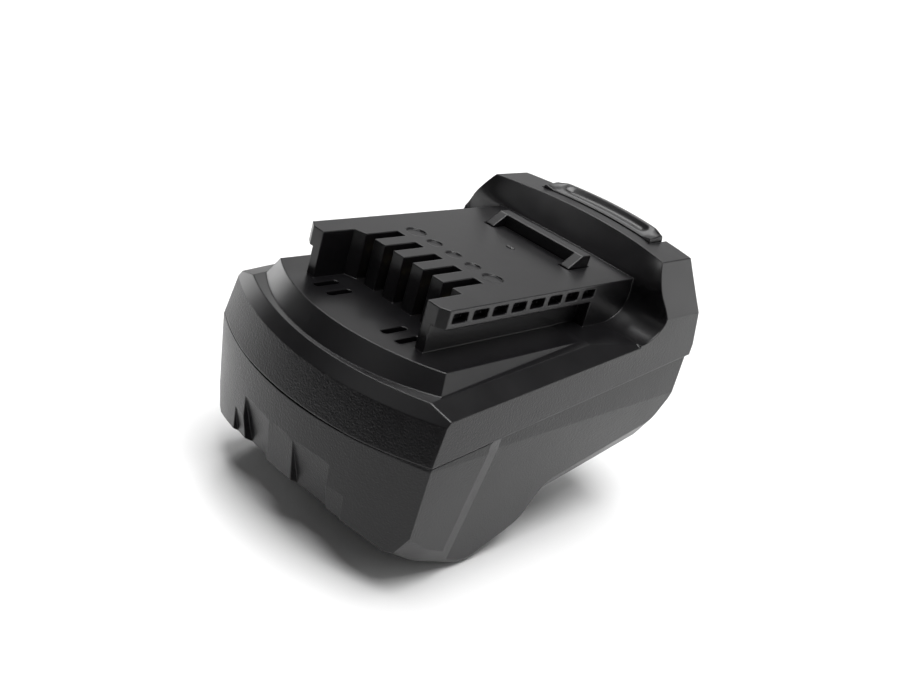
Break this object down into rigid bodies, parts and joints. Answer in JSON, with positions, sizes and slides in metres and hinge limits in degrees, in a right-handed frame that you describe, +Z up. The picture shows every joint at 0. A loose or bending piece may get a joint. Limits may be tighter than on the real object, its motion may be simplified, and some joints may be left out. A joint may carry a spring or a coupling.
{
  "type": "power tool battery pack",
  "caption": "Slide-on cordless power tool battery pack with side rails, slotted terminal block, latch hook and a sprung release button.",
  "frame": {"origin": "middle of the bounding box's bottom face", "axes": "+Z up, square to the rail tops; Y along the slide, terminals towards -Y and the release button towards +Y; X across the pack"},
  "size_m": [0.0794, 0.1184, 0.0813],
  "materials": {
    "upper_plastic": "satin moulded black plastic, finely grained at the sides",
    "lower_plastic": "grained black plastic",
    "latch_plastic": "smooth black plastic",
    "button_plastic": "satin black plastic",
    "spring_steel": "bright spring wire",
    "cell_sleeve": "shrink sleeve",
    "holder_plastic": "flame-retardant black plastic",
    "nickel": "nickel strip",
    "insulating_paper": "pressed insulating paper",
    "foam": "closed-cell foam",
    "board_laminate": "green solder mask",
    "contact_metal": "plated copper alloy",
    "component_black": "moulded epoxy",
    "shunt_metal": "metal alloy",
    "capacitor_metal": "aluminium can",
    "thermistor_resin": "resin bead",
    "screw_steel": "blackened steel"
  },
  "bodies": {
    "pack": {"upper_housing": "upper_plastic", "lower_housing": "lower_plastic", "right_latch_spring": "spring_steel", "left_latch_spring": "spring_steel", "front_upper_cell": "cell_sleeve", "front_lower_cell": "cell_sleeve", "rear_lower_cell": "cell_sleeve", "middle_upper_cell": "cell_sleeve", "rear_upper_cell": "cell_sleeve", "right_cell_holder": "holder_plastic", "left_cell_holder": "holder_plastic", "front_cell_link": "nickel", "rear_cell_link": "nickel", "lower_cell_link": "nickel", "upper_cell_link": "nickel", "negative_strap": "nickel", "positive_strap": "nickel", "right_insulating_sheet": "insulating_paper", "left_insulating_sheet": "insulating_paper", "right_foam_pad": "foam", "left_foam_pad": "foam", "circuit_board": "board_laminate", "terminal_holder": "holder_plastic", "positive_contact": "contact_metal", "identity_contact": "contact_metal", "temperature_contact": "contact_metal", "signal_contact": "contact_metal", "negative_contact": "contact_metal", "protection_chip": "component_black", "switching_transistors": "component_black", "current_shunt": "shunt_metal", "filter_capacitors": "capacitor_metal", "thermistor": "thermistor_resin", "housing_screws": "screw_steel"},
    "latch": {"latch_hook": "latch_plastic", "release_button": "button_plastic"}
  },
  "joints": [
    {"name": "latch_slide", "type": "slide", "parent": "pack", "child": "latch", "axis": [0, 0, -1], "range_m": [0, 0.0038], "stiffness_N_per_m": 1200, "deforming": ["right_latch_spring", "left_latch_spring"]}
  ]
}
